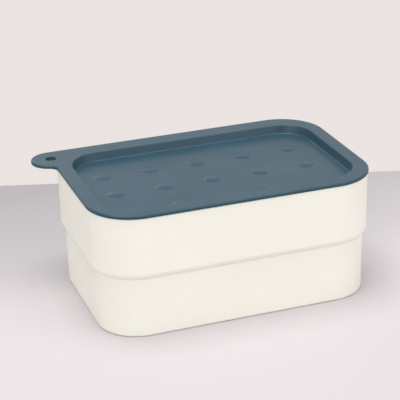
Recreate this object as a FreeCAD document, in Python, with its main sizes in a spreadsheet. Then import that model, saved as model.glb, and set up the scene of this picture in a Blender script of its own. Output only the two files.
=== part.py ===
import FreeCAD, Part
import math
import os
import Sketcher
from FreeCAD import Vector

# Covered soap dish: a deep box with rounded corners and a shoulder at half height, a flat
# lid that rests on its rim, and a draining tray on the ledge inside. Millimetres, +Z up.
# The origin is the middle of the underside of the box, which stands on z = 0. X runs along
# the length, and the lid's tab points to -X at the back corner.

doc = FreeCAD.newDocument("CoveredSoapDish")

# Driving dimensions
SIZES = (
    ("lid_length", 135.0, "lid flange, without the tab"),
    ("lid_width", 92.0, "lid flange"),
    ("lid_corner", 22.0, "corner radius of the flange in plan"),
    ("lid_thick", 2.0, "thickness of the flange"),
    ("lid_round", 0.75, "round on the upper outer edge of the flange"),
    ("lid_bevel", 0.5, "bevel on the lower outer edge of the flange"),
    ("lid_overhang", 0.5, "how far the flange passes the rim of the box"),
    ("box_height", 58.0, "underside to rim"),
    ("step_height", 28.5, "underside to the crease below the shoulder"),
    ("step_inset", 1.8, "the lower half is this much further in"),
    ("shoulder_rise", 1.2, "height of the slope that carries the shoulder's round"),
    ("shoulder_share", 0.9, "part of the slope that the shoulder's round takes up"),
    ("upper_lean", 0.25, "draft of the upper half, crease to rim"),
    ("lower_lean", 0.25, "draft of the lower half, underside to crease"),
    ("box_wall", 2.2, "wall of the box"),
    ("box_floor", 2.5, "floor of the box"),
    ("foot_bevel", 0.8, "bevel on the bottom edge"),
    ("rim_bevel", 0.7, "bevel on both edges of the rim"),
    ("floor_bevel", 2.5, "bevel between the inner wall and the floor"),
    ("ledge_rise", 2.0, "crease outside to ledge inside"),
    ("floor_lap", 1.0, "the floor's plate runs this far into the wall's foot"),
    ("flange_side", 6.8, "flat of the flange at either end, from the pan's mouth outwards"),
    ("flange_front", 7.7, "flat of the flange along the front"),
    ("flange_back", 9.9, "flat of the flange along the back"),
    ("pan_corner", 15.5, "corner radius of the pan's mouth"),
    ("pan_depth", 4.0, "top of the flange to the floor of the pan"),
    ("pan_lean", 1.35, "draft of the pan's wall"),
    ("pan_wall", 1.6, "wall and floor of the pan"),
    ("pan_mouth_bevel", 0.3, "bevel on the mouth of the pan"),
    ("pan_foot_bevel", 0.7, "bevel between the pan's wall and its floor"),
    ("bump_diameter", 8.2, "low domes on the floor of the pan"),
    ("bump_height", 0.55, "low domes"),
    ("bump_columns", 5, "domes along the length"),
    ("bump_rows", 3, "domes across"),
    ("bump_left", 10.5, "pan floor's left edge to the first column"),
    ("bump_right", 15.0, "last column to the pan floor's right edge"),
    ("bump_front", 5.9, "pan floor's front edge to the first row"),
    ("bump_back", 21.5, "last row to the pan floor's back edge"),
    ("tab_radius", 9.5, "the tab's end, round about the hang hole"),
    ("tab_reach", 0.1, "hang hole's axis to the flange's left edge, inwards"),
    ("tab_blend", 5.0, "hollow round between tab and flange"),
    ("hang_hole", 5.0, "diameter of the hang hole"),
    ("hang_bevel", 0.4, "bevel on the upper edge of the hang hole"),
    ("rib_thick", 1.6, "locating rib under the flange"),
    ("rib_drop", 3.0, "locating rib, below the flange"),
    ("rib_clearance", 0.5, "rib to the inside of the rim"),
    ("tray_thick", 2.0, "draining tray"),
    ("tray_clearance", 0.4, "tray to the wall around it"),
    ("tray_bevel", 0.5, "bevel on the tray's upper edge"),
    ("slot_width", 4.0, "drain slots"),
    ("slot_count", 9, "drain slots"),
    ("slot_side", 15.0, "tray's end to the axis of the first slot"),
    ("slot_end", 14.0, "tray's long edge to the end of each slot"),
)

sheet = doc.addObject("Spreadsheet::Sheet", "Sizes")
for row, (alias, number, note) in enumerate(SIZES, start=1):
    sheet.set(f"A{row}", alias)
    sheet.set(f"B{row}", str(number))
    sheet.set(f"C{row}", note)
    sheet.setAlias(f"B{row}", alias)
doc.recompute()


def value(expression):
    """The number that an expression over the sheet gives now."""
    return float(sheet.evalExpression(expression.replace("Sizes.", "")))


# Expressions that several pieces share. An outline is (half length, half width, corner).


def inset(outline, *amounts):
    """The outline that lies inside another by the sum of the amounts."""
    taken = " - ".join(amounts)
    return tuple(f"({part} - {taken})" for part in outline)


LID = ("Sizes.lid_length / 2", "Sizes.lid_width / 2", "Sizes.lid_corner")
RIM = inset(LID, "Sizes.lid_overhang")
SHOULDER = inset(RIM, "Sizes.upper_lean")
CREASE = inset(SHOULDER, "Sizes.step_inset")
FOOT = inset(CREASE, "Sizes.lower_lean")
MOUTH = inset(RIM, "Sizes.box_wall")
LEDGE = inset(SHOULDER, "Sizes.box_wall")
WELL = inset(CREASE, "Sizes.box_wall")
WELL_FLOOR = inset(FOOT, "Sizes.box_wall")
RIB = inset(MOUTH, "Sizes.rib_clearance")
RIB_INNER = inset(RIB, "Sizes.rib_thick")
TRAY = inset(LEDGE, "Sizes.tray_clearance")
PAN = (
    "(Sizes.lid_length / 2 - Sizes.flange_side)",
    "(Sizes.lid_width - Sizes.flange_front - Sizes.flange_back) / 2",
    "Sizes.pan_corner",
)
PAN_FLOOR = inset(PAN, "Sizes.pan_lean")

LEDGE_HEIGHT = "(Sizes.step_height + Sizes.ledge_rise)"
SLOPE_HEIGHT = "(Sizes.step_height + Sizes.shoulder_rise)"
LID_TOP = "(Sizes.box_height + Sizes.lid_thick)"
PAN_LEVEL = f"({LID_TOP} - Sizes.pan_depth)"
PAN_SHIFT = "((Sizes.flange_front - Sizes.flange_back) / 2)"


def pan_shell(depth):
    """Outside of the pan, one wall thickness off its inside, at a depth below the top."""
    return inset(PAN, f"Sizes.pan_lean * {depth} / Sizes.pan_depth", "(0 - Sizes.pan_wall)")


# Helpers for bodies, sketches and features


def new_body(label):
    body = doc.addObject("PartDesign::Body", label)
    body.Label = label
    body.Placement = FreeCAD.Placement()
    return body


def new_sketch(body, name, height="0", plane="XY_Plane", shift=("0", "0")):
    """A sketch on one of the body's origin planes, moved off it by expressions."""
    sketch = body.newObject("Sketcher::SketchObject", name)
    for feature in body.Origin.OriginFeatures:
        if feature.Role == plane:
            sketch.AttachmentSupport = [(feature, "")]
    sketch.MapMode = "FlatFace"
    sketch.setExpression(".AttachmentOffset.Base.x", shift[0])
    sketch.setExpression(".AttachmentOffset.Base.y", shift[1])
    sketch.setExpression(".AttachmentOffset.Base.z", height)
    return sketch


def drive(sketch, index, name, expression):
    """Names a dimension of a sketch and binds it to an expression."""
    sketch.renameConstraint(index, name)
    sketch.setExpression(f"Constraints.{name}", expression)


def dimension(sketch, name, expression, *where):
    """Adds a dimension of the kind given first in where, bound to an expression."""
    index = sketch.addConstraint(Sketcher.Constraint(*where, value(expression)))
    drive(sketch, index, name, expression)


def coincident(sketch, first, first_end, second, second_end):
    sketch.addConstraint(Sketcher.Constraint("Coincident", first, first_end, second, second_end))


def tangent(sketch, first, first_end, second, second_end):
    sketch.addConstraint(Sketcher.Constraint("Tangent", first, first_end, second, second_end))


def add_line(sketch, x1, y1, x2, y2):
    return sketch.addGeometry(Part.LineSegment(Vector(x1, y1, 0), Vector(x2, y2, 0)), False)


def add_arc(sketch, x, y, radius, start, end):
    circle = Part.Circle(Vector(x, y, 0), Vector(0, 0, 1), radius)
    arc = Part.ArcOfCircle(circle, math.radians(start), math.radians(end))
    return sketch.addGeometry(arc, False)


def rounded_rectangle(sketch, outline, prefix="outline"):
    """A rounded rectangle about the sketch's origin, its arcs tangent to its sides."""
    a, b, r = (value(part) for part in outline)
    front = add_line(sketch, r - a, -b, a - r, -b)
    front_right = add_arc(sketch, a - r, r - b, r, 270, 360)
    right = add_line(sketch, a, r - b, a, b - r)
    back_right = add_arc(sketch, a - r, b - r, r, 0, 90)
    back = add_line(sketch, a - r, b, r - a, b)
    back_left = add_arc(sketch, r - a, b - r, r, 90, 180)
    left = add_line(sketch, -a, b - r, -a, r - b)
    front_left = add_arc(sketch, r - a, r - b, r, 180, 270)
    # A line runs from end 1 to end 2, an arc anticlockwise from end 1 to end 2.
    loop = (front, front_right, right, back_right, back, back_left, left, front_left)
    for here, following in zip(loop, loop[1:] + loop[:1]):
        tangent(sketch, here, 2, following, 1)
    for side in (front, back):
        sketch.addConstraint(Sketcher.Constraint("Horizontal", side))
    for side in (left, right):
        sketch.addConstraint(Sketcher.Constraint("Vertical", side))
    for arc in (front_right, back_right, back_left):
        sketch.addConstraint(Sketcher.Constraint("Equal", front_left, arc))
    dimension(sketch, prefix + "_corner", outline[2], "Radius", front_left)
    origin = (-1, 1)
    dimension(sketch, prefix + "_right", outline[0], "DistanceX", *origin, right, 1)
    dimension(sketch, prefix + "_back", outline[1], "DistanceY", *origin, back, 1)
    sketch.addConstraint(Sketcher.Constraint("Symmetric", front, 1, back, 1, -1, 1))


def outline_sketch(body, name, outline, height, shift=("0", "0")):
    sketch = new_sketch(body, name, height, shift=shift)
    rounded_rectangle(sketch, outline)
    return sketch


def loft(body, name, kind, sketches):
    """A straight-sided loft through outlines at rising heights."""
    feature = body.newObject("PartDesign::" + kind, name)
    feature.Profile = sketches[0]
    feature.Sections = sketches[1:]
    feature.Ruled = True
    finish(body, feature, sketches)
    return feature


def pad(body, name, sketch, length, downwards=False):
    feature = body.newObject("PartDesign::Pad", name)
    feature.Profile = sketch
    feature.Reversed = downwards
    feature.setExpression("Length", length)
    finish(body, feature, [sketch])
    return feature


def pocket(body, name, sketch, depth):
    """Cuts upwards and downwards from the sketch, by the depth each way."""
    before = body.Tip.Shape.Volume
    feature = body.newObject("PartDesign::Pocket", name)
    feature.Profile = sketch
    feature.SideType = "Symmetric"
    feature.setExpression("Length", f"2 * {depth}")
    finish(body, feature, [sketch])
    if feature.Shape.Volume >= before:
        raise ValueError(name + " cuts nothing")
    return feature


def pattern(body, name, original, sketch, ways):
    """Copies a feature along the sketch's axes: (axis, extent, copies) for each way."""
    feature = body.newObject("PartDesign::LinearPattern", name)
    feature.Originals = [original]
    for suffix, (axis, extent, copies) in zip(("", "2"), ways):
        setattr(feature, "Direction" + suffix, (sketch, [axis]))
        setattr(feature, "Mode" + suffix, "Extent")
        feature.setExpression("Length" + suffix, extent)
        feature.setExpression("Occurrences" + suffix, copies)
    finish(body, feature, [])
    return feature


def finish(body, feature, sketches):
    for sketch in sketches:
        sketch.Visibility = False
    body.Tip = feature
    doc.recompute()


def soften(body, name, kind, dimension_name, amount, picked):
    """Rounds or bevels the edges of the body for which picked gives true."""
    base = body.Tip
    edges = enumerate(base.Shape.Edges, start=1)
    names = [f"Edge{number}" for number, edge in edges if picked(edge)]
    feature = body.newObject("PartDesign::" + kind, name)
    feature.Base = (base, names)
    feature.setExpression(dimension_name, amount)
    finish(body, feature, [])
    return feature


def fillet(body, name, radius, picked):
    return soften(body, name, "Fillet", "Radius", radius, picked)


def bevel(body, name, size, picked):
    return soften(body, name, "Chamfer", "Size", size, picked)


def flat_at(height, reach=None):
    """Picks edges lying at a height and, if given, out to a half length from the middle."""
    level = value(height)

    def picked(edge):
        box = edge.BoundBox
        if box.ZLength > 0.01 or abs(box.ZMax - level) > 0.01:
            return False
        if reach is None:
            return True
        return outline_covers(box, reach)

    return picked


def outline_covers(box, outline):
    """Whether an edge's bounding box lies on the border of an outline about the origin."""
    a, b, r = (value(part) for part in outline)
    middle = Vector((box.XMin + box.XMax) / 2, (box.YMin + box.YMax) / 2, 0)
    on_side = abs(abs(middle.x) - a) < 0.01 or abs(abs(middle.y) - b) < 0.01
    corner_middle = (a - r / 2, b - r / 2)
    off_corner = max(abs(abs(middle.x) - corner_middle[0]), abs(abs(middle.y) - corner_middle[1]))
    return on_side or off_corner < 0.01


# Box: one moulding, its wall's section swept round the rim's outline, then the floor

box = new_body("box")


def sweep_path(sketch, outline):
    """The closed path of the sweep, which starts and ends in the middle of the right side."""
    a, b, r = (value(part) for part in outline)
    loop = (
        add_line(sketch, a, 0, a, b - r),
        add_arc(sketch, a - r, b - r, r, 0, 90),
        add_line(sketch, a - r, b, r - a, b),
        add_arc(sketch, r - a, b - r, r, 90, 180),
        add_line(sketch, -a, b - r, -a, r - b),
        add_arc(sketch, r - a, r - b, r, 180, 270),
        add_line(sketch, r - a, -b, a - r, -b),
        add_arc(sketch, a - r, r - b, r, 270, 360),
        add_line(sketch, a, r - b, a, 0),
    )
    for here, following in zip(loop, loop[1:]):
        tangent(sketch, here, 2, following, 1)
    upper_right, back, left, front, lower_right = loop[::2]
    coincident(sketch, lower_right, 2, upper_right, 1)
    for side in (upper_right, left):
        sketch.addConstraint(Sketcher.Constraint("Vertical", side))
    for side in (back, front):
        sketch.addConstraint(Sketcher.Constraint("Horizontal", side))
    sketch.addConstraint(Sketcher.Constraint("PointOnObject", upper_right, 1, -1))
    for arc in loop[3::2]:
        sketch.addConstraint(Sketcher.Constraint("Equal", loop[1], arc))
    dimension(sketch, "corner", outline[2], "Radius", loop[1])
    origin = (-1, 1)
    dimension(sketch, "to_right", outline[0], "DistanceX", *origin, upper_right, 1)
    dimension(sketch, "to_left", outline[0], "DistanceX", left, 1, *origin)
    dimension(sketch, "to_back", outline[1], "DistanceY", *origin, back, 1)
    dimension(sketch, "to_front", outline[1], "DistanceY", front, 1, *origin)
    return [f"Edge{number}" for number in range(1, len(loop) + 1)]


# The round that meets the upper wall takes up a share of the slope, whatever its angle.
slope_length = "sqrt(pow(Sizes.step_inset; 2) + pow(Sizes.shoulder_rise; 2))"
half_turn = "(atan(Sizes.step_inset / Sizes.shoulder_rise) / 2)"
shoulder_round = f"Sizes.shoulder_share * {slope_length} / tan({half_turn})"
seam = f"({WELL_FLOOR[0]} - Sizes.floor_bevel - 2 * Sizes.floor_lap)"

# Corners of the wall's section, from the seam in the floor round the outside and back:
# name, distance from the middle, height, round
WALL_SECTION = (
    ("seam_low", seam, "0", None),
    ("foot", f"({FOOT[0]} - Sizes.foot_bevel)", "0", None),
    ("foot_side", FOOT[0], "Sizes.foot_bevel", None),
    ("crease", CREASE[0], "Sizes.step_height", None),
    ("shoulder", SHOULDER[0], SLOPE_HEIGHT, shoulder_round),
    ("rim", RIM[0], "(Sizes.box_height - Sizes.rim_bevel)", None),
    ("rim_top", f"({RIM[0]} - Sizes.rim_bevel)", "Sizes.box_height", None),
    ("mouth_top", f"({MOUTH[0]} + Sizes.rim_bevel)", "Sizes.box_height", None),
    ("mouth", MOUTH[0], "(Sizes.box_height - Sizes.rim_bevel)", None),
    ("ledge", LEDGE[0], LEDGE_HEIGHT, None),
    ("well", WELL[0], LEDGE_HEIGHT, None),
    ("well_foot", WELL_FLOOR[0], "(Sizes.box_floor + Sizes.floor_bevel)", None),
    ("floor", f"({WELL_FLOOR[0]} - Sizes.floor_bevel)", "Sizes.box_floor", None),
    ("seam_high", seam, "Sizes.box_floor", None),
)


def section(sketch, corners):
    """A closed section from its sharp corners, each then rounded where it has a radius."""
    points = [(value(x), value(y)) for _, x, y, _ in corners]
    sides = [add_line(sketch, *here, *ahead) for here, ahead in zip(points, points[1:] + points[:1])]
    for here, ahead in zip(sides, sides[1:] + sides[:1]):
        coincident(sketch, here, 2, ahead, 1)
    for side, (name, x, y, _) in zip(sides, corners):
        dimension(sketch, name + "_out", x, "DistanceX", -1, 1, side, 1)
        if value(y) == 0:
            sketch.addConstraint(Sketcher.Constraint("PointOnObject", side, 1, -1))
        else:
            dimension(sketch, name + "_up", y, "DistanceY", -1, 1, side, 1)
    for side, (name, _, _, radius) in zip(sides, corners):
        if radius:
            sketch.fillet(side, 1, value(radius), True, True)
            dimension(sketch, name + "_round", radius, "Radius", sketch.GeometryCount - 2)


path = new_sketch(box, "RimPath")
path_edges = sweep_path(path, RIM)
wall = new_sketch(box, "WallSection", plane="XZ_Plane")
section(wall, WALL_SECTION)
doc.recompute()
sweep = box.newObject("PartDesign::AdditivePipe", "BoxWall")
sweep.Profile = wall
sweep.Spine = (path, path_edges)
finish(box, sweep, [path, wall])

floor_edge = inset(WELL_FLOOR, "Sizes.floor_bevel", "Sizes.floor_lap")
pad(box, "BoxFloor", outline_sketch(box, "FloorOutline", floor_edge, "0"), "Sizes.box_floor")

# Lid: flange with tab, pan that hangs into the mouth, domes, locating rib, hang hole

lid = new_body("lid")


def flange_outline(sketch):
    """The flange: a rounded rectangle whose back left corner runs out into the tab."""
    a, b, r = (value(part) for part in LID)
    tab = value("Sizes.tab_radius")
    blend = value("Sizes.tab_blend")
    hole_x = value("Sizes.tab_reach") - a
    hole_y = b - tab
    # The blend's centre lies out to the left, its own radius off the flange's left side.
    blend_x = -a - blend
    blend_y = hole_y - math.sqrt((tab + blend) ** 2 - (hole_x - blend_x) ** 2)
    lean = math.degrees(math.atan2(hole_y - blend_y, hole_x - blend_x))
    front = add_line(sketch, r - a, -b, a - r, -b)
    front_right = add_arc(sketch, a - r, r - b, r, 270, 360)
    right = add_line(sketch, a, r - b, a, b - r)
    back_right = add_arc(sketch, a - r, b - r, r, 0, 90)
    back = add_line(sketch, a - r, b, hole_x, b)
    lobe = add_arc(sketch, hole_x, hole_y, tab, 90, 180 + lean)
    hollow = add_arc(sketch, blend_x, blend_y, blend, 0, lean)
    left = add_line(sketch, -a, blend_y, -a, r - b)
    front_left = add_arc(sketch, r - a, r - b, r, 180, 270)
    for here, here_end, following, next_end in (
        (front, 2, front_right, 1),
        (front_right, 2, right, 1),
        (right, 2, back_right, 1),
        (back_right, 2, back, 1),
        (back, 2, lobe, 1),
        (lobe, 2, hollow, 2),
        (hollow, 1, left, 1),
        (left, 2, front_left, 1),
        (front_left, 2, front, 1),
    ):
        tangent(sketch, here, here_end, following, next_end)
    for side in (front, back):
        sketch.addConstraint(Sketcher.Constraint("Horizontal", side))
    for side in (left, right):
        sketch.addConstraint(Sketcher.Constraint("Vertical", side))
    for arc in (front_right, back_right):
        sketch.addConstraint(Sketcher.Constraint("Equal", front_left, arc))
    dimension(sketch, "corner", LID[2], "Radius", front_left)
    dimension(sketch, "tab_end", "Sizes.tab_radius", "Radius", lobe)
    dimension(sketch, "tab_hollow", "Sizes.tab_blend", "Radius", hollow)
    origin = (-1, 1)
    dimension(sketch, "to_right", LID[0], "DistanceX", *origin, right, 1)
    dimension(sketch, "to_left", LID[0], "DistanceX", left, 1, *origin)
    dimension(sketch, "to_back", LID[1], "DistanceY", *origin, back, 1)
    dimension(sketch, "to_front", LID[1], "DistanceY", front, 1, *origin)
    dimension(sketch, "to_hole", HOLE_X, "DistanceX", lobe, 3, *origin)


HOLE_X = f"({LID[0]} - Sizes.tab_reach)"
HOLE_Y = f"({LID[1]} - Sizes.tab_radius)"

flange = new_sketch(lid, "FlangeOutline", "Sizes.box_height")
flange_outline(flange)
pad(lid, "Flange", flange, "Sizes.lid_thick")
fillet(lid, "FlangeTopRound", "Sizes.lid_round", flat_at(LID_TOP))
bevel(lid, "FlangeBottomBevel", "Sizes.lid_bevel", flat_at("Sizes.box_height"))

centred = ("0", PAN_SHIFT)
pan_bottom = f"({PAN_LEVEL} - Sizes.pan_wall)"
pan_outside = [
    outline_sketch(
        lid, "PanShellBottom", pan_shell("(Sizes.pan_depth + Sizes.pan_wall)"), pan_bottom, centred
    ),
    outline_sketch(
        lid, "PanShellTop", pan_shell("Sizes.lid_thick / 2"),
        f"({LID_TOP} - Sizes.lid_thick / 2)", centred
    ),
]
loft(lid, "PanOutside", "AdditiveLoft", pan_outside)
pan_inside = [
    outline_sketch(lid, "PanFloor", PAN_FLOOR, PAN_LEVEL, centred),
    outline_sketch(lid, "PanMouth", PAN, LID_TOP, centred),
]
loft(lid, "PanInside", "SubtractiveLoft", pan_inside)


def pan_edge(height, outline):
    """Picks the edges of the pan's outline at a height."""
    level = value(height)
    shift = value(PAN_SHIFT)

    def picked(edge):
        box_of_edge = edge.BoundBox
        if box_of_edge.ZLength > 0.01 or abs(box_of_edge.ZMax - level) > 0.01:
            return False
        box_of_edge.move(Vector(0, -shift, 0))
        return outline_covers(box_of_edge, outline)

    return picked


bevel(lid, "PanMouthBevel", "Sizes.pan_mouth_bevel", pan_edge(LID_TOP, PAN))
bevel(lid, "PanFootBevel", "Sizes.pan_foot_bevel", pan_edge(PAN_LEVEL, PAN_FLOOR))

rib = new_sketch(lid, "RibOutline", "Sizes.box_height")
rounded_rectangle(rib, RIB, "outer")
rounded_rectangle(rib, RIB_INNER, "inner")
pad(lid, "LocatingRib", rib, "Sizes.rib_drop", downwards=True)

# The first dome stands at the front left, its profile turned about its own upright axis.
dome_x = f"(Sizes.bump_left - {PAN_FLOOR[0]})"
dome_y = f"({PAN_SHIFT} - {PAN_FLOOR[1]} + Sizes.bump_front)"
# The profile's plane faces the front, so its offset runs towards -Y.
dome = new_sketch(lid, "DomeProfile", f"0 - {dome_y}", "XZ_Plane", (dome_x, PAN_LEVEL))


def dome_profile(sketch):
    """Half of a cap above the floor with a stub that ties it in below."""
    r = value("Sizes.bump_diameter / 2")
    rise = value("Sizes.bump_height")
    root = value("Sizes.pan_wall / 2")
    ball = (r * r + rise * rise) / (2 * rise)
    reach = math.degrees(math.acos(r / ball))
    axis = add_line(sketch, 0, rise, 0, -root)
    base = add_line(sketch, 0, -root, r, -root)
    side = add_line(sketch, r, -root, r, 0)
    cap = add_arc(sketch, 0, rise - ball, ball, reach, 90)
    coincident(sketch, axis, 2, base, 1)
    coincident(sketch, base, 2, side, 1)
    coincident(sketch, side, 2, cap, 1)
    coincident(sketch, cap, 2, axis, 1)
    sketch.addConstraint(Sketcher.Constraint("PointOnObject", axis, 1, -2))
    sketch.addConstraint(Sketcher.Constraint("PointOnObject", cap, 3, -2))
    sketch.addConstraint(Sketcher.Constraint("Vertical", axis))
    sketch.addConstraint(Sketcher.Constraint("Horizontal", base))
    sketch.addConstraint(Sketcher.Constraint("Vertical", side))
    sketch.addConstraint(Sketcher.Constraint("PointOnObject", side, 2, -1))
    origin = (-1, 1)
    dimension(sketch, "half_width", "Sizes.bump_diameter / 2", "DistanceX", *origin, side, 2)
    dimension(sketch, "rise", "Sizes.bump_height", "DistanceY", *origin, axis, 1)
    dimension(sketch, "root", "Sizes.pan_wall / 2", "DistanceY", axis, 2, *origin)


dome_profile(dome)
first_dome = lid.newObject("PartDesign::Revolution", "Dome")
first_dome.Profile = dome
first_dome.ReferenceAxis = (dome, ["V_Axis"])
first_dome.Angle = 360.0
finish(lid, first_dome, [dome])
across = f"(2 * {PAN_FLOOR[1]} - Sizes.bump_front - Sizes.bump_back)"
along = f"(2 * {PAN_FLOOR[0]} - Sizes.bump_left - Sizes.bump_right)"
rows = (("H_Axis", along, "Sizes.bump_columns"), ("V_Axis", across, "Sizes.bump_rows"))
pattern(lid, "Domes", first_dome, flange, rows)

hole = new_sketch(lid, "HangHole", "Sizes.box_height", shift=(f"0 - {HOLE_X}", HOLE_Y))
hole_circle = hole.addGeometry(Part.Circle(Vector(), Vector(0, 0, 1), 1.0), False)
coincident(hole, hole_circle, 3, -1, 1)
dimension(hole, "bore", "Sizes.hang_hole / 2", "Radius", hole_circle)
pocket(lid, "HangHoleCut", hole, "Sizes.lid_thick")


def hole_edge(edge):
    """Picks the upper edge of the hang hole by its place and its width."""
    bounds = edge.BoundBox
    if abs(bounds.ZMin - value(LID_TOP)) > 0.01:
        return False
    centred_on_hole = math.hypot(bounds.Center.x + value(HOLE_X), bounds.Center.y - value(HOLE_Y))
    across = abs(bounds.XLength - value("Sizes.hang_hole")) + bounds.ZLength
    return centred_on_hole < 0.01 and across < 0.01


bevel(lid, "HangHoleBevel", "Sizes.hang_bevel", hole_edge)

# Draining tray: a slotted plate that lies on the ledge

tray = new_body("drain_tray")
plate = outline_sketch(tray, "TrayOutline", TRAY, LEDGE_HEIGHT)
pad(tray, "TrayPlate", plate, "Sizes.tray_thick")
TRAY_TOP = f"({LEDGE_HEIGHT} + Sizes.tray_thick)"
bevel(tray, "TrayBevel", "Sizes.tray_bevel", flat_at(TRAY_TOP))

SLOT_X = f"({TRAY[0]} - Sizes.slot_side)"
slot = new_sketch(tray, "SlotOutline", LEDGE_HEIGHT, shift=(f"0 - {SLOT_X}", "0"))


def slot_outline(sketch):
    """A long slot across the tray, round at both ends."""
    r = value("Sizes.slot_width / 2")
    reach = value(f"{TRAY[1]} - Sizes.slot_end")
    left = add_line(sketch, -r, reach - r, -r, r - reach)
    front = add_arc(sketch, 0, r - reach, r, 180, 360)
    right = add_line(sketch, r, r - reach, r, reach - r)
    back = add_arc(sketch, 0, reach - r, r, 0, 180)
    loop = (left, front, right, back)
    for here, following in zip(loop, loop[1:] + loop[:1]):
        tangent(sketch, here, 2, following, 1)
    sketch.addConstraint(Sketcher.Constraint("Vertical", left))
    sketch.addConstraint(Sketcher.Constraint("Equal", front, back))
    sketch.addConstraint(Sketcher.Constraint("Symmetric", front, 3, back, 3, -1, 1))
    dimension(sketch, "end_radius", "Sizes.slot_width / 2", "Radius", front)
    centre_reach = f"{TRAY[1]} - Sizes.slot_end - Sizes.slot_width / 2"
    dimension(sketch, "half_run", centre_reach, "DistanceY", -1, 1, back, 3)


slot_outline(slot)
first_slot = pocket(tray, "Slot", slot, "Sizes.tray_thick")
slots = (("H_Axis", f"2 * {SLOT_X}", "Sizes.slot_count"),)
pattern(tray, "Slots", first_slot, plate, slots)

# Every object is checked before anything is written

doc.recompute()
for item in doc.Objects:
    for state in ("Invalid", "Error"):
        if state in item.State:
            raise ValueError(f"{item.Label} is in state {state}")
pieces = (box, lid, tray)
for body in pieces:
    shape = body.Shape
    if shape.isNull() or not shape.isValid() or len(shape.Solids) != 1:
        raise ValueError(body.Label + " is not one valid solid")
    bounds = shape.optimalBoundingBox()
    print(
        f"{body.Label}: volume {shape.Volume / 1000:.2f} cm3, faces {len(shape.Faces)}, "
        f"X {bounds.XMin:.2f} to {bounds.XMax:.2f}, Y {bounds.YMin:.2f} to {bounds.YMax:.2f}, "
        f"Z {bounds.ZMin:.2f} to {bounds.ZMax:.2f}"
    )

os.makedirs("parts", exist_ok=True)
for body in pieces:
    body.Shape.exportStep(os.path.join("parts", body.Label + ".step"))
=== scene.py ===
# %% [markdown]
# # Covered soap dish
#
# A deep cream box with rounded corners and a shoulder at half height stands on a pale
# table. A flat blue-grey lid lies on its rim, with a shallow pan in its top, rows of low
# domes in the pan and a tab with a hole at one corner. A slotted tray lies inside.
#
# The packed model gives the sizes and says what moves. Here each of its three solids gets
# a finer twin, modelled with bmesh operators: rounds where a mould has rounds, soft domes,
# thin reliefs. Then come the two plastics, and the light that shows them.

import math

import bmesh
import bpy
from mathutils import Matrix, Vector


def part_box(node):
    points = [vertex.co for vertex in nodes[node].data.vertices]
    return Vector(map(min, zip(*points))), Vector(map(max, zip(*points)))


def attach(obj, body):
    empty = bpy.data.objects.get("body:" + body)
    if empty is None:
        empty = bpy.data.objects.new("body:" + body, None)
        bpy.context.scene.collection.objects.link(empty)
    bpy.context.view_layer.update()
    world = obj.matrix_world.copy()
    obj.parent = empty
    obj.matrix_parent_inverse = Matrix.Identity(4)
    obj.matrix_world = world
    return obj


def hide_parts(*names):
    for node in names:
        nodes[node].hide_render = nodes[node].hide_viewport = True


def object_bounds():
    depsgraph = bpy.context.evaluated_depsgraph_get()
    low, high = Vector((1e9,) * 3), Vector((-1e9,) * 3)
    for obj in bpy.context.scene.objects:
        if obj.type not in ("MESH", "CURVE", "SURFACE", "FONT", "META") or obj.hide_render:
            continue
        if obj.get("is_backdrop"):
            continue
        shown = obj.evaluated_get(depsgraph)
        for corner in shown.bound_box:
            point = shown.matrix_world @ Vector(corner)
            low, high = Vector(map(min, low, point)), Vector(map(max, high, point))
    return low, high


MM = 0.001

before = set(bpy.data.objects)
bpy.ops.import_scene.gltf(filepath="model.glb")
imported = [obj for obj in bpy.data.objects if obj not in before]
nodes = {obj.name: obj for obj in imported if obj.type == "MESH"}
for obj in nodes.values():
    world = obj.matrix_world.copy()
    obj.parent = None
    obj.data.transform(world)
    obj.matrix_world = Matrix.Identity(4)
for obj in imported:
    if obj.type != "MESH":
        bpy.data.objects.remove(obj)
cad_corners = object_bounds()
for name in sorted(nodes):
    low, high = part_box(name)
    size = " x ".join(f"{(b - a) / MM:.1f}" for a, b in zip(low, high))
    print(f"{name}: {size} mm, {len(nodes[name].data.polygons)} faces")

# %% [markdown]
# ## The camera
#
# The picture was taken from the front left, a little above the lid, with a long lens, so
# the box's edges run almost parallel. A camera is placed by an azimuth and an elevation
# about the object, a distance, and a small roll, because the one who held it didn't hold
# it quite level. A Track To constraint could aim it, but it would leave out that roll, so
# its axes are worked out first and then written into its matrix.

# %% Place the camera
AZIMUTH = -0.3330
ELEVATION = 0.3984
ROLL = -0.0287
DISTANCE = 701.34 * MM
AIM_RIGHT = -5.40 * MM
AIM_UP = 38.50 * MM
SENSOR = 36.0
LENS = 130.70

back = Vector((
    math.sin(AZIMUTH) * math.cos(ELEVATION),
    -math.cos(AZIMUTH) * math.cos(ELEVATION),
    math.sin(ELEVATION),
))
level_right = Vector((0, 0, 1)).cross(back).normalized()
level_up = back.cross(level_right)
right = level_right * math.cos(ROLL) + level_up * math.sin(ROLL)
up = level_up * math.cos(ROLL) - level_right * math.sin(ROLL)

camera_data = bpy.data.cameras.new("Camera")
camera_data.sensor_width = SENSOR
camera_data.lens = LENS
camera_data.clip_start = 0.01
camera_data.clip_end = 10.0
camera = bpy.data.objects.new("Camera", camera_data)
bpy.context.scene.collection.objects.link(camera)
place = level_right * AIM_RIGHT + level_up * AIM_UP + back * DISTANCE
turn = Matrix((right, up, back)).transposed().to_4x4()
camera.matrix_world = Matrix.Translation(place) @ turn
bpy.context.scene.camera = camera
print("camera at", [round(c / MM, 1) for c in place], "mm")

# %% [markdown]
# ## Shader maths as Python
#
# A real plastic is never one colour or one roughness: its clouds, grain and marks vary over
# the surface. Nodes for that could be linked one by one, but sums are easier to read than
# a web of links. So `Reading` wraps one socket. Adding, subtracting or multiplying readings
# puts a Math node between them, and numbers stay plain until they meet a reading. The
# methods with an r are for a number that comes first, as in 1 - cloud.

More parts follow.
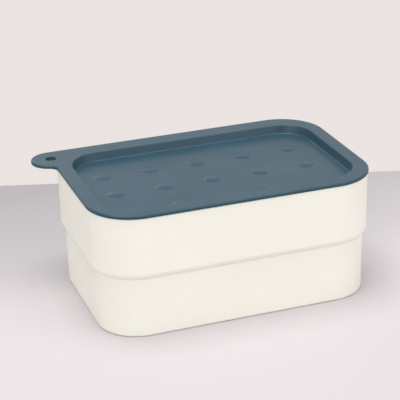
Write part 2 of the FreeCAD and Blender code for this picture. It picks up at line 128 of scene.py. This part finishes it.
# %% Wrap a socket
class Reading:
    """A value that varies over a surface, ready for Python arithmetic."""

    def __init__(self, finish, socket):
        self.finish = finish
        self.socket = socket

    def maths(self, operation, first, second):
        inputs = {0: first, 1: second}
        return self.finish.node("ShaderNodeMath", {"operation": operation}, inputs)

    def __add__(self, other):
        return self.maths("ADD", self, other)

    def __radd__(self, other):
        return self.maths("ADD", other, self)

    def __sub__(self, other):
        return self.maths("SUBTRACT", self, other)

    def __rsub__(self, other):
        return self.maths("SUBTRACT", other, self)

    def __mul__(self, other):
        return self.maths("MULTIPLY", self, other)

    def __rmul__(self, other):
        return self.maths("MULTIPLY", other, self)


print("a reading can be added, subtracted and multiplied")

# %% [markdown]
# ## A finish under construction
#
# `Finish` starts an empty material, or an empty world. Its `node` method makes any node in
# one call: the kind, the settings, and what goes into its sockets, be it a number or a
# reading. The nodes that every plastic needs have short methods of their own, so a finish
# below reads as a recipe.

# %% Start a finish
class Finish:
    """A material or a world whose nodes are made one call at a time."""

    def __init__(self, owner, output="ShaderNodeOutputMaterial"):
        owner.use_nodes = True
        self.owner = owner
        self.tree = owner.node_tree
        self.tree.nodes.clear()
        self.output = self.tree.nodes.new(output)

    def node(self, kind, settings=None, inputs=None, output=0):
        made = self.tree.nodes.new(kind)
        for key, setting in (settings or {}).items():
            if key == "stops":
                self.set_stops(made.color_ramp, setting)
            else:
                setattr(made, key, setting)
        for key, given in (inputs or {}).items():
            self.feed(made.inputs[key], given)
        return Reading(self, made.outputs[output])

    def feed(self, socket, given):
        if isinstance(given, Reading):
            self.tree.links.new(given.socket, socket)
        else:
            socket.default_value = given

    def set_stops(self, ramp, stops):
        while len(ramp.elements) < len(stops):
            ramp.elements.new(0.5)
        for element, (position, shade) in zip(ramp.elements, stops):
            element.position = position
            element.color = (shade, shade, shade, 1.0)

    def place(self, turn=(0, 0, 0), stretch=(1, 1, 1)):
        """Object coordinates, turned and stretched for a pattern with a direction."""
        where = self.node("ShaderNodeTexCoord", output="Object")
        inputs = {"Vector": where, "Rotation": turn, "Scale": stretch}
        return self.node("ShaderNodeMapping", {"vector_type": "POINT"}, inputs)

    def noise(self, where, per_metre, detail=2.0, roughness=0.5, warp=0.0):
        inputs = {
            "Vector": where,
            "Scale": per_metre,
            "Detail": detail,
            "Roughness": roughness,
            "Distortion": warp,
        }
        return self.node("ShaderNodeTexNoise", {"noise_dimensions": "3D"}, inputs)

    def ramp(self, factor, *stops):
        """A factor drawn through stops of (position, shade)."""
        return self.node("ShaderNodeValToRGB", {"stops": stops}, {"Fac": factor})

    def mix(self, factor, first, second):
        """A colour between two colours."""
        settings = {"data_type": "RGBA", "clamp_factor": True}
        inputs = {"Factor": factor, 6: first, 7: second}
        return self.node("ShaderNodeMix", settings, inputs, output=2)

    def show(self, shader):
        """Joins the last shader to the output, and gives the finished material or world."""
        self.feed(self.output.inputs["Surface"], shader)
        return self.owner

    def plastic(self, colour, roughness, height, depth, gloss):
        """Joins everything in one plastic, whose grain is as deep as depth, in metres."""
        bump_inputs = {"Height": height, "Distance": depth, "Strength": 1.0}
        inputs = {
            "Base Color": colour,
            "Roughness": roughness,
            "Normal": self.node("ShaderNodeBump", {}, bump_inputs),
            "IOR": gloss,
        }
        return self.show(self.node("ShaderNodeBsdfPrincipled", {}, inputs))


print("a finish knows", ", ".join(word for word in vars(Finish) if word[0] != "_"))

# %% [markdown]
# ## Colours as a screen shows them
#
# A colour is easiest to pick on a screen, from 0 to 255, but a shader counts light, and a
# screen's numbers don't rise evenly with it. So each part of a colour goes through the
# screen's own curve first. Half of 255 is only about a fifth of the light.

# %% Turn a screen's colour into light
def linear(red, green, blue):
    """A colour as picked on a screen, 0 to 255, as the shader wants it."""
    def one(part):
        part /= 255
        return part / 12.92 if part <= 0.04045 else ((part + 0.055) / 1.055) ** 2.4

    return (one(red), one(green), one(blue), 1.0)


print("half of 255 is", round(linear(127.5, 127.5, 127.5)[0], 3), "of the light")

# %% [markdown]
# ## Cream plastic for the box and the tray
#
# The real box is moulded in one shot from a soft cream plastic. Nothing is painted, so
# the colour goes all through, but it is never perfectly even: the melt cools first where
# it enters, and a lighter cloud stays in the wall. The mould is spark-eroded, which
# leaves a fine matt grain, and hands have polished it a little in patches. An image could
# show all that, but it would need unwrapping and would have seams. Noise in the object's
# own coordinates needs neither, so each of the three is a noise of its own size.

# %% Mix the cream plastic
GRAIN_DEPTH = 0.012 * MM
DEEP_CREAM, PALE_CREAM = linear(240, 238, 226), linear(244, 243, 233)


def cream_plastic():
    finish = Finish(bpy.data.materials.new("CreamPlastic"))
    where = finish.place()
    cloud = finish.noise(where, per_metre=14.0, detail=3.0, warp=0.6)
    speck = finish.noise(where, per_metre=420.0, detail=2.0)
    tint = finish.ramp(cloud * 0.8 + speck * 0.2, (0.3, 0.0), (0.7, 1.0))
    colour = finish.mix(tint, DEEP_CREAM, PALE_CREAM)
    grain = finish.noise(where, per_metre=2600.0, detail=2.0, roughness=0.6)
    patches = finish.noise(where, per_metre=38.0, detail=4.0, warp=1.2)
    handled = finish.ramp(patches, (0.42, 0.0), (0.66, 1.0))
    roughness = 0.46 + grain * 0.06 - handled * 0.07
    return finish.plastic(colour, roughness, height=grain, depth=GRAIN_DEPTH, gloss=1.46)


cream = cream_plastic()
print("cream plastic:", len(cream.node_tree.nodes), "nodes")

# %% [markdown]
# ## Blue-grey plastic for the lid
#
# The lid is a stiffer plastic, dyed right through. It reads lighter on its flat top than
# on its upright walls: the walls show the dye, and the flat parts also mirror the pale
# room, softly, because the grain scatters it. So the colour is set as dark as the walls
# and the gloss does the rest. Faint drawn-out marks run along it, where things were
# slid across. They are a noise too, stretched in one direction by its Mapping node.

# %% Mix the blue-grey plastic
DEEP_BLUE, PALE_BLUE = linear(39, 67, 80), linear(46, 75, 89)


def blue_plastic():
    finish = Finish(bpy.data.materials.new("BlueGreyPlastic"))
    where = finish.place()
    along = finish.place(turn=(0, 0, math.radians(12)), stretch=(0.12, 1.0, 1.0))
    cloud = finish.noise(where, per_metre=26.0, detail=3.0, warp=0.8)
    streak = finish.noise(along, per_metre=520.0, detail=3.0, roughness=0.65)
    tint = finish.ramp(cloud * 0.7 + streak * 0.3, (0.32, 0.0), (0.68, 1.0))
    colour = finish.mix(tint, DEEP_BLUE, PALE_BLUE)
    grain = finish.noise(where, per_metre=2400.0, detail=2.0, roughness=0.6)
    rubbed = finish.ramp(streak, (0.5, 0.0), (0.72, 1.0))
    roughness = 0.27 + grain * 0.07 + cloud * 0.05 - rubbed * 0.04
    height = grain * 0.85 + streak * 0.15
    return finish.plastic(colour, roughness, height, depth=GRAIN_DEPTH, gloss=1.345)


blue_grey = blue_plastic()
print("blue-grey plastic:", len(blue_grey.node_tree.nodes), "nodes")

# %% [markdown]
# ## Outlines drawn by one vertex
#
# Seen from above, each moulding is a closed outline: straight runs and arcs that flow into
# each other. A maker draws it with a pen, and here one vertex is the pen. Extruded, it
# leaves a straight run behind it. Spun about a centre, it leaves an arc. A ready-made
# circle or box could be bent to the same outline, but not with arcs that meet their
# straight runs so exactly.

# %% Draw with one vertex
ARC_STEPS = 24


def run_to(shape, tip, x, y):
    """Pulls a new vertex out of the last one, with a straight edge behind it."""
    made = bmesh.ops.extrude_vert_indiv(shape, verts=[tip])["verts"][0]
    bmesh.ops.translate(shape, verts=[made], vec=(x * MM - tip.co.x, y * MM - tip.co.y, 0))
    return made


def swing(shape, tip, x, y, degrees):
    """Turns the last vertex about a centre, with an arc behind it."""
    steps = round(ARC_STEPS * abs(degrees) / 90)
    made = bmesh.ops.spin(
        shape, geom=[tip], cent=(x * MM, y * MM, 0), axis=(0, 0, 1),
        angle=math.radians(degrees), steps=steps, use_duplicate=False,
    )
    return made["geom_last"][0]


print("each quarter turn is drawn in", ARC_STEPS, "steps")

# %% [markdown]
# ## From moves to a face
#
# An outline is then a list of moves. When the pen is back where it began, it is welded to
# its start, and the outline is filled with one flat face that looks up. A curve object
# could be filled as well, but this face has to be carried on by operators, so it is made
# in the shape that it belongs to. The box, the tray, the pan and the rib are all the same
# kind of outline, a rectangle with round corners, so it gets a helper of its own.

# %% Close and fill an outline
def draw(shape, x, y, height, *moves):
    """Draws a closed outline at a height, in mm, and fills it with a face that looks up."""
    earlier = set(shape.edges)
    first = tip = shape.verts.new((x * MM, y * MM, height * MM))
    for move, *where in moves:
        tip = move(shape, tip, *where)
    bmesh.ops.weld_verts(shape, targetmap={tip: first})
    drawn = [edge for edge in shape.edges if edge not in earlier]
    face = bmesh.ops.contextual_create(shape, geom=drawn)["faces"][0]
    face.normal_update()
    if face.normal.z < 0:
        bmesh.ops.reverse_faces(shape, faces=[face])
        face.normal_update()
    return face


def rounded_rectangle(shape, half_length, half_width, corner, height, shift=0.0):
    """The outline that the box, the pan and the tray share, moved back by shift."""
    x, y = half_length - corner, half_width - corner
    return draw(
        shape, -x, shift - half_width, height,
        (run_to, x, shift - half_width),
        (swing, x, shift - y, 90),
        (run_to, half_length, shift + y),
        (swing, x, shift + y, 90),
        (run_to, -x, shift + half_width),
        (swing, -x, shift + y, 90),
        (run_to, -half_length, shift - y),
        (swing, -x, shift - y, 90),
    )


trial = bmesh.new()
square = rounded_rectangle(trial, 10, 10, 5, 0)
print("a trial square, 20 mm wide:", round(square.calc_area() / MM**2, 1), "mm2")
trial.free()

# %% [markdown]
# ## Walls that climb from an outline
#
# A moulding's wall keeps one section all the way round. Inset does that: it moves a face's
# border inwards by one amount and the face up by another, and leaves a strip of wall
# behind. A negative amount goes outwards. So a whole section is a list of steps, and each
# step's ring of edges is kept, because the mould's maker rounds some of them afterwards.
# Solidify could make a wall as well, but one of the same thickness everywhere.

# %% Climb and round
def climb(shape, face, *steps):
    """Carries a face through steps of (inwards, upwards), and gives the ring after each."""
    facing = math.copysign(MM, face.normal.z)
    rings = []
    for inwards, upwards in steps:
        bmesh.ops.inset_individual(
            shape, faces=[face], thickness=inwards * MM, depth=upwards * facing,
            use_even_offset=True,
        )
        rings.append(list(face.edges))
    return rings


def soften(shape, ring, reach, segments):
    """Rounds a ring of edges. The round takes up its reach, in mm, of each side."""
    bmesh.ops.bevel(
        shape, geom=ring, offset=reach * MM, offset_type="OFFSET", affect="EDGES",
        segments=segments, profile=0.5, material=-1,
    )


trial = bmesh.new()
top = rounded_rectangle(trial, 10, 10, 5, 0)
rings = climb(trial, top, (-1, 0), (0, 5))
print(len(rings), "rings, and the trial square is", round(top.verts[0].co.z / MM, 1), "mm up")
trial.free()

# %% [markdown]
# ## Flat faces with holes in them
#
# The first outline stays open behind the climbing face. It lies a little away from the
# true edge, so the flat sheet that closes it at the end is out of the rounds' way. One
# face can't have holes, so such a sheet is a fill of triangles. Grid Fill would want a
# border without holes, and Triangle Fill takes any number of them.

# %% Open and close a level
SAME_LEVEL = 0.0001 * MM


def open_up(shape, *faces):
    """Takes faces away and leaves the rings round them, for a flat sheet to close."""
    bmesh.ops.delete(shape, geom=list(faces), context="FACES_ONLY")


def close_level(shape, height):
    """Fills whatever is open at a height with one flat sheet, round all the holes in it."""
    here = [
        edge for edge in shape.edges
        if edge.is_boundary
        and all(abs(tip.co.z - height * MM) < SAME_LEVEL for tip in edge.verts)
    ]
    made = bmesh.ops.triangle_fill(shape, use_beauty=True, use_dissolve=False, edges=here)
    return sum(isinstance(part, bmesh.types.BMFace) for part in made["geom"])


print("edges count as level within", round(SAME_LEVEL / MM, 4), "mm")

# %% [markdown]
# ## From a shape to a piece
#
# A finished shape becomes an object that stays at the origin, with its place in its mesh.
# It stands for one solid of the packed model, which is then hidden, and rides on the same
# body. Each mesh must be closed, so its open edges are counted. The faces are smooth, and
# a Weighted Normal modifier lets the large flat ones set the shading, so only the rounds
# look round.

# %% Make a piece
SMALLEST_FACE = 1e-6 * MM**2


def make_piece(name, shape, plastic, body, node):
    bmesh.ops.recalc_face_normals(shape, faces=shape.faces)
    for face in shape.faces:
        face.smooth = True
    open_edges = sum(not edge.is_manifold for edge in shape.edges)
    slivers = sum(face.calc_area() < SMALLEST_FACE for face in shape.faces)
    volume = shape.calc_volume() / MM**3 / 1000
    mesh = bpy.data.meshes.new(name)
    shape.to_mesh(mesh)
    shape.free()
    mesh.materials.append(plastic)
    piece = bpy.data.objects.new(name, mesh)
    bpy.context.scene.collection.objects.link(piece)
    shading = piece.modifiers.new("FlatsStayFlat", "WEIGHTED_NORMAL")
    shading.weight = 100
    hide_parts(node)
    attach(piece, body)
    print(f"{name}: {len(mesh.polygons)} faces, {open_edges} open edges, {slivers} empty faces")
    print(f"{name}: {volume:.2f} cm3")


print("a face counts as empty under", SMALLEST_FACE / MM**2, "mm2")

# %% [markdown]
# ## The box
#
# The box is one cream moulding. Its outside starts at the foot, leans out a little as the
# mould's draft asks, and at half height steps out over a soft shoulder that ends below in
# a crisp crease. A low bead runs round the rim, and the lid bears on the flat seat just
# inside it. From there the wall turns down to the ledge that the tray lies on, and then
# into the well. A solid block could be hollowed out instead, but the same section runs
# all the way round, so one climb gives the outside and the inside. The steps below follow
# that section from a ring in the underside, and each ring is named after what it is on
# the box.

# %% Climb the box's wall
BOX_HEIGHT, CREASE_HEIGHT, LEDGE_HEIGHT, FLOOR_TOP = 58.0, 28.5, 30.5, 2.5
DRAFT = 0.25
SHOULDER_OUT, SHOULDER_RISE = 1.8, 1.2
BEAD_RISE, BEAD_WIDTH, SEAT_WIDTH, LEDGE_WIDTH = 0.25, 0.8, 1.4, 1.8
UNDERSIDE_STRIP = 3.0
UNDERSIDE = (61.7, 40.2, 16.2)  # half length, half width, corner

box_shape = bmesh.new()
climber = rounded_rectangle(box_shape, *UNDERSIDE, 0)
foot, crease, shoulder, rim, bead, seat, mouth, ledge, well, floor = climb(
    box_shape, climber,
    (-UNDERSIDE_STRIP, 0),
    (-DRAFT, CREASE_HEIGHT),
    (-SHOULDER_OUT, SHOULDER_RISE),
    (-DRAFT, BOX_HEIGHT + BEAD_RISE - CREASE_HEIGHT - SHOULDER_RISE),
    (BEAD_WIDTH, 0),
    (0, -BEAD_RISE),
    (SEAT_WIDTH, 0),
    (DRAFT, LEDGE_HEIGHT - BOX_HEIGHT),
    (LEDGE_WIDTH, 0),
    (DRAFT, FLOOR_TOP - LEDGE_HEIGHT),
)
for ring, reach, segments in (
    (foot, 0.9, 6), (crease, 0.12, 2), (shoulder, 1.95, 10), (rim, 0.3, 4), (bead, 0.12, 2),
    (seat, 0.06, 1), (mouth, 0.6, 6), (ledge, 0.25, 3), (well, 0.5, 4), (floor, 2.5, 8),
):
    soften(box_shape, ring, reach, segments)
print("underside faces filled:", close_level(box_shape, 0))
make_piece("MouldedBox", box_shape, cream, "dish", "box")

# %% [markdown]
# ## Holes through a plate
#
# The lid has a hang hole and the tray has slots. Each hole is drawn a little too wide on
# the plate's upper face, steps in over a flat lip to its true edge, goes down through the
# plate and out over another lip. The plate's two faces are filled in afterwards, round all
# the holes at once. Rounding the true edges can't disturb those faces, thanks to the lips.
# A Boolean modifier could cut the same holes, but it would leave their edges sharp.

# %% Sink a hole
HOLE_LIP = 0.8


def through_hole(shape, drawn, depth, upper_round, lower_round):
    """Sinks a hole that is HOLE_LIP narrower all round than the face drawn for it."""
    upper, lower, _ = climb(shape, drawn, (HOLE_LIP, 0), (0, -depth), (-HOLE_LIP, 0))
    open_up(shape, drawn)
    soften(shape, upper, upper_round, segments=4)
    soften(shape, lower, lower_round, segments=3)


print("each hole is drawn", HOLE_LIP, "mm too wide all round")

# %% [markdown]
# ## The draining tray
#
# Nothing of the tray shows while the lid is on. It is a plate of the same cream plastic,
# with nine slots whose ends are round, and it lies loose on the ledge. One slot, repeated
# by an Array modifier and cut by a Boolean, would do as well. A loop over the slots is as
# short, and what it leaves is already the final mesh.

# %% Cut the tray's slots
TRAY_TOP = 32.5
TRAY_THICK = TRAY_TOP - LEDGE_HEIGHT
TRAY_UNDERSIDE = (63.15, 41.65, 17.65)
TRAY_STRIP, TOP_STRIP = 1.0, 1.2
SLOT_COUNT, SLOT_START, SLOT_PITCH = 9, -49.15, 12.2875
SLOT_REACH, SLOT_ROUND = 26.65, 2.0

tray_shape = bmesh.new()
tray_face = rounded_rectangle(tray_shape, *TRAY_UNDERSIDE, LEDGE_HEIGHT)
tray_foot, tray_edge, _ = climb(
    tray_shape, tray_face, (-TRAY_STRIP, 0), (0, TRAY_THICK), (TOP_STRIP, 0)
)
open_up(tray_shape, tray_face)
soften(tray_shape, tray_foot, reach=0.25, segments=3)
soften(tray_shape, tray_edge, reach=0.5, segments=4)
for number in range(SLOT_COUNT):
    x = SLOT_START + SLOT_PITCH * number
    r = SLOT_ROUND + HOLE_LIP
    drawn = draw(
        tray_shape, x - r, -SLOT_REACH, TRAY_TOP,
        (swing, x, -SLOT_REACH, 180),
        (run_to, x + r, SLOT_REACH),
        (swing, x, SLOT_REACH, 180),
        (run_to, x - r, -SLOT_REACH),
    )
    through_hole(tray_shape, drawn, TRAY_THICK, upper_round=0.4, lower_round=0.2)
filled = close_level(tray_shape, TRAY_TOP), close_level(tray_shape, LEDGE_HEIGHT)
print("tray faces filled:", *filled)
make_piece("SlottedTray", tray_shape, cream, "dish", "drain_tray")

# %% [markdown]
# ## The lid's flange and its tab
#
# The lid takes the most skill. Its flat flange is a rounded rectangle whose back left
# corner runs out into a tab: a lobe about the hang hole, and a small hollow arc that leads
# back into the straight left side. The tab could be a disc joined on by a Boolean, but the
# hollow arc would still have to be fitted, so the whole outline is drawn in one go.
# Underneath, a thin relief runs round the border and makes room for the box's bead, so a
# dark line shows between the two mouldings.

# %% Draw the flange
LID_TOP = 60.0
LID_THICK = LID_TOP - BOX_HEIGHT
HALF_LENGTH, HALF_WIDTH, CORNER = 67.5, 46.0, 22.0
RELIEF, RELIEF_WIDTH, LIP = 0.5, 1.45, 0.4
HOLE = (-67.39, 36.5)
LOBE, HOLLOW = 9.5, 5.0
hollow_x = -HALF_LENGTH - HOLLOW
hollow_y = HOLE[1] - math.sqrt((LOBE + HOLLOW) ** 2 - (HOLE[0] - hollow_x) ** 2)
lean = math.degrees(math.atan2(HOLE[1] - hollow_y, HOLE[0] - hollow_x))

lid_shape = bmesh.new()
inner = RELIEF_WIDTH + LIP
end, side = HALF_LENGTH - inner, HALF_WIDTH - inner
x, y = HALF_LENGTH - CORNER, HALF_WIDTH - CORNER
flange_face = draw(
    lid_shape, -x, -side, BOX_HEIGHT,
    (run_to, x, -side),
    (swing, x, -y, 90),
    (run_to, end, y),
    (swing, x, y, 90),
    (run_to, HOLE[0], side),
    (swing, *HOLE, 90 + lean),
    (swing, hollow_x, hollow_y, -lean),
    (run_to, -end, -y),
    (swing, -x, -y, 90),
)
_, _, flange_foot, flange_edge, _ = climb(
    lid_shape, flange_face,
    (-LIP, 0), (0, RELIEF), (-RELIEF_WIDTH, 0), (0, LID_THICK - RELIEF), (TOP_STRIP, 0),
)
open_up(lid_shape, flange_face)
soften(lid_shape, flange_foot, reach=0.15, segments=3)
soften(lid_shape, flange_edge, reach=0.75, segments=6)
print("tab blends in", round(hollow_y, 2), "mm behind the middle")

# %% [markdown]
# ## The hang hole
#
# The tab is there for its hole, which takes a hook or a cord. Its upper edge is rounded, so
# a cord won't chafe. A circle with a cap is all that it needs to start from.

# %% Sink the hang hole
HOLE_RADIUS = 2.5


def capped_circle(shape, x, y, height, radius, segments):
    """A round face that looks up, at a place given in mm."""
    circle = bmesh.ops.create_circle(
        shape, cap_ends=True, segments=segments, radius=radius * MM,
        matrix=Matrix.Translation(Vector((x, y, height)) * MM),
    )
    face = circle["verts"][0].link_faces[0]
    face.normal_update()
    return face


hole_face = capped_circle(lid_shape, *HOLE, LID_TOP, HOLE_RADIUS + HOLE_LIP, 48)
through_hole(lid_shape, hole_face, LID_THICK, upper_round=0.35, lower_round=0.1)
print("hang hole", 2 * HOLE_RADIUS, "mm wide, through", LID_THICK, "mm")

# %% [markdown]
# ## The pan and what hangs below the flange
#
# The pan is drawn on the flange's upper face and steps down inside. Below the flange hang
# the pan's outer skin and a rib that keeps the lid in the box's mouth. Both start as
# outlines in the flange's lower face. When all the rings lie in place, one sheet closes
# the upper face and one the lower face, round everything. Rib and skin could be pieces of
# their own that reach into the flange, but a mould makes them in one with it, and then the
# mesh has no faces hidden inside.

# %% Sink the pan and hang the rib
PAN_MOUTH, PAN_SHIFT = (61.5, 38.0, 16.3), -1.1
PAN_DEPTH, PAN_LEAN, PAN_STRIP = 4.0, 1.35, 0.65
SKIN_ROOT = (62.025, 38.525, 16.825)
SKIN_DROP, SKIN_LEAN = 3.6, 1.215
RIB_ROOT = (64.7, 43.2, 19.2)
RIB_DROP, RIB_THICK, STRIP = 3.0, 1.6, 0.4

pan_face = rounded_rectangle(lid_shape, *PAN_MOUTH, LID_TOP, PAN_SHIFT)
pan_mouth, pan_foot, _ = climb(
    lid_shape, pan_face, (2 * STRIP, 0), (PAN_LEAN, -PAN_DEPTH), (PAN_STRIP, 0)
)
open_up(lid_shape, pan_face)
soften(lid_shape, pan_mouth, reach=0.4, segments=4)
soften(lid_shape, pan_foot, reach=0.55, segments=5)

rib_face = rounded_rectangle(lid_shape, *RIB_ROOT, BOX_HEIGHT)
rib_root, rib_low, rib_back, rib_inside, _ = climb(
    lid_shape, rib_face,
    (STRIP, 0), (0, -RIB_DROP), (RIB_THICK, 0), (0, RIB_DROP), (STRIP, 0),
)
open_up(lid_shape, rib_face)
for ring, reach in ((rib_root, 0.25), (rib_low, 0.5), (rib_back, 0.5), (rib_inside, 0.25)):
    soften(lid_shape, ring, reach, segments=3)

skin_face = rounded_rectangle(lid_shape, *SKIN_ROOT, BOX_HEIGHT, PAN_SHIFT)
skin_root, skin_foot = climb(lid_shape, skin_face, (STRIP, 0), (SKIN_LEAN, -SKIN_DROP))
soften(lid_shape, skin_root, reach=0.25, segments=3)
soften(lid_shape, skin_foot, reach=1.2, segments=5)
filled = close_level(lid_shape, LID_TOP), close_level(lid_shape, BOX_HEIGHT)
print("flange faces filled:", *filled)

# %% [markdown]
# ## The domes
#
# Low domes keep a wet soap off the pan's floor. Each starts as a circle in the floor and
# climbs in a few rings, steeply at first and then flatter, like a button. The steps come
# from one curve: the height falls off with the cube of the distance from the middle. A
# bump map would be less work, but the domes would be missing from the mesh.

# %% Raise the domes
DOME_RADIUS, DOME_RISE, DOME_MARGIN, DOME_SIDES = 4.1, 0.67, 0.25, 40
COLUMNS, FIRST_COLUMN, COLUMN_PITCH = 5, -48.84, 23.29
ROWS, FIRST_ROW, ROW_PITCH = 3, -31.05, 22.15
PAN_FLOOR = LID_TOP - PAN_DEPTH
SHARES = (1.0, 0.9, 0.82, 0.72, 0.58, 0.4, 0.18)  # of the radius, one for each ring

dome_steps = [
    (DOME_RADIUS * (outer - inner), DOME_RISE * (outer**3 - inner**3))
    for outer, inner in zip(SHARES, SHARES[1:])
]
for column in range(COLUMNS):
    for row in range(ROWS):
        x, y = FIRST_COLUMN + COLUMN_PITCH * column, FIRST_ROW + ROW_PITCH * row
        reach = DOME_RADIUS + DOME_MARGIN
        dome_face = capped_circle(lid_shape, x, y, PAN_FLOOR, reach, DOME_SIDES)
        dome_foot, *_ = climb(lid_shape, dome_face, (DOME_MARGIN, 0), *dome_steps)
        soften(lid_shape, dome_foot, reach=0.2, segments=2)
print("pan floor faces filled:", close_level(lid_shape, PAN_FLOOR))
make_piece("MouldedLid", lid_shape, blue_grey, "lid", "lid")

# %% [markdown]
# ## The table's finish, with painted shade
#
# A plain pale table, whose far edge lies a little behind the box. Its colour is painted
# darker towards that edge, a painted shade like that of a table lit from the front. Past
# the edge there is only the even pale surrounding, which is also what the lid mirrors, so
# the camera can go right round the object and nothing stands in its way. Light could do
# the darkening too, but a lamp for the table would change the box as well, and a painted
# ramp in the colour doesn't.

# %% Finish the table, with painted shade
TABLE_COLOUR, TABLE_ROUGHNESS = linear(192, 187, 190), 0.5
# Painted shade: the share of the colour that is left at the far edge.
FAR_PAINTED_SHADE = 0.62  # of the colour, at the far edge
SHADE_FADE_START, SHADE_FADE_PER_METRE = 0.1, 7.5


def table_with_painted_shade():
    finish = Finish(bpy.data.materials.new("TableWithPaintedShade"))
    where = finish.place()
    cloud = finish.noise(where, per_metre=3.0, detail=2.0)
    backwards = finish.node("ShaderNodeSeparateXYZ", {}, {0: where}, output=1)
    # Painted shade: the colour fades darker towards the far edge of the table.
    painted_shade_fade = cloud * 0.1 + backwards * SHADE_FADE_PER_METRE - SHADE_FADE_START
    painted_shade_ramp = finish.ramp(painted_shade_fade, (0.0, 0.0), (1.0, 1.0))
    painted_shade_colour = tuple(part * FAR_PAINTED_SHADE for part in TABLE_COLOUR[:3]) + (1.0,)
    inputs = {"Base Color": finish.mix(painted_shade_ramp, TABLE_COLOUR, painted_shade_colour), "Roughness": TABLE_ROUGHNESS}
    return finish.show(finish.node("ShaderNodeBsdfPrincipled", {}, inputs))


table_material_with_painted_shade = table_with_painted_shade()
print("table finish:", len(table_material_with_painted_shade.node_tree.nodes), "nodes")

# %% [markdown]
# ## The table itself
#
# Of the table only a flat top is in the picture, so a cube or a thick slab would be more
# than it needs. One square of a grid is enough. The matrix that it is made with stretches
# it, turns it to face the camera and puts its far edge in place, all in one go.

# %% Lay the table
TABLE_EDGE, TABLE_SKEW = 131 * MM, 0.024
TABLE_WIDTH, TABLE_DEPTH = 5.0, 4.0

away = Vector((-back.x, -back.y, 0)).normalized()
aside = Vector((away.y, -away.x, 0))
edge_run = (aside + away * TABLE_SKEW).normalized()
middle = away * (TABLE_EDGE - TABLE_DEPTH / 2)
stretch = Matrix((edge_run * TABLE_WIDTH, away * TABLE_DEPTH, Vector((0, 0, 1))))

table_shape = bmesh.new()
bmesh.ops.create_grid(
    table_shape, x_segments=1, y_segments=1, size=0.5,
    matrix=Matrix.Translation(middle) @ stretch.transposed().to_4x4(),
)
table_mesh = bpy.data.meshes.new("Table")
table_shape.to_mesh(table_mesh)
table_shape.free()
table_mesh.materials.append(table_material_with_painted_shade)
made = bpy.data.objects.new("Table", table_mesh)
bpy.context.scene.collection.objects.link(made)
made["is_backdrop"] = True
print("table edge", round(TABLE_EDGE / MM), "mm behind the middle of the box")

# %% [markdown]
# ## Light
#
# The picture's light is broad and soft, so every lamp is a square panel. A sun or a point
# would draw hard edges. The lid's walls are darker than its flat parts, so the strongest
# panel is overhead, and it is small enough for the domes' sides not to mirror it. Both
# front panels reach the front of the box, and only one of them its left side, which is a
# step darker. A weak panel far behind is mirrored in the lid's left half, which is a shade
# lighter than the right one. The last one stands where the round at the foot of the pan
# mirrors it, and draws a fine light line there.

# %% Set the panels
PANELS = (
    # name, place in metres, width in metres, power in watts
    ("OverheadPanel", (-0.16, 0.04, 1.28), 0.7, 11.2),
    ("BackPanel", (-0.08, 1.25, 0.55), 0.5, 0.55),
    ("FrontRightPanel", (0.7, -0.86, 0.85), 1.2, 7.7),
    ("FrontLeftPanel", (-1.0, -0.75, 0.9), 1.0, 8.2),
    ("FootLinePanel", (0.39, -0.12, 1.23), 0.25, 1.0),
)
AIM = Vector((0, 0, 0.03))

for name, place, width, power in PANELS:
    lamp = bpy.data.lights.new(name, "AREA")
    lamp.shape = "SQUARE"
    lamp.size = width
    lamp.energy = power
    made = bpy.data.objects.new(name, lamp)
    bpy.context.scene.collection.objects.link(made)
    turn = (AIM - Vector(place)).to_track_quat("-Z", "Y").to_matrix().to_4x4()
    made.matrix_world = Matrix.Translation(place) @ turn
print(len(PANELS), "panels,", round(sum(power for *_, power in PANELS), 2), "watts in all")

# %% [markdown]
# ## The surrounding
#
# Walls all round would fill the shadows, but they would also stand in the camera's way.
# A world does the same from everywhere at once. This one has two colours: the dimmer one
# lights the shadows, and the camera and the plastics' reflections see the other, which is
# the backdrop's. Light Path nodes tell which ray is asking.

# %% Fill the shadows
SURROUNDING = (0.97, 0.95, 0.94)
SURROUNDING_STRENGTH = 0.48
BACKDROP = (0.83, 0.775, 0.755)

sky = Finish(bpy.data.worlds.new("Surrounding"), "ShaderNodeOutputWorld")
camera_asks = sky.node("ShaderNodeLightPath", output="Is Camera Ray")
gloss_asks = sky.node("ShaderNodeLightPath", output="Is Glossy Ray")
inputs = {"Color": (*SURROUNDING, 1.0), "Strength": SURROUNDING_STRENGTH}
fill = sky.node("ShaderNodeBackground", {}, inputs)
seen = sky.node("ShaderNodeBackground", {}, {"Color": (*BACKDROP, 1.0), "Strength": 1.0})
inputs = {"Fac": camera_asks + gloss_asks, 1: fill, 2: seen}
bpy.context.scene.world = sky.show(sky.node("ShaderNodeMixShader", {}, inputs))
print("surrounding", SURROUNDING_STRENGTH, "strong, backdrop", BACKDROP)

# %% [markdown] ## Measure and finish The standard view transform shows colours as they
# are written.

# %% Measure and finish
bpy.context.scene.view_settings.view_transform = "Standard"
scene_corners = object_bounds()
sizes = {
    "cad": [list(corner) for corner in cad_corners],
    "scene": [list(corner) for corner in scene_corners],
}
for name, corners in sizes.items():
    print(name, [[round(c / MM, 2) for c in corner] for corner in corners])
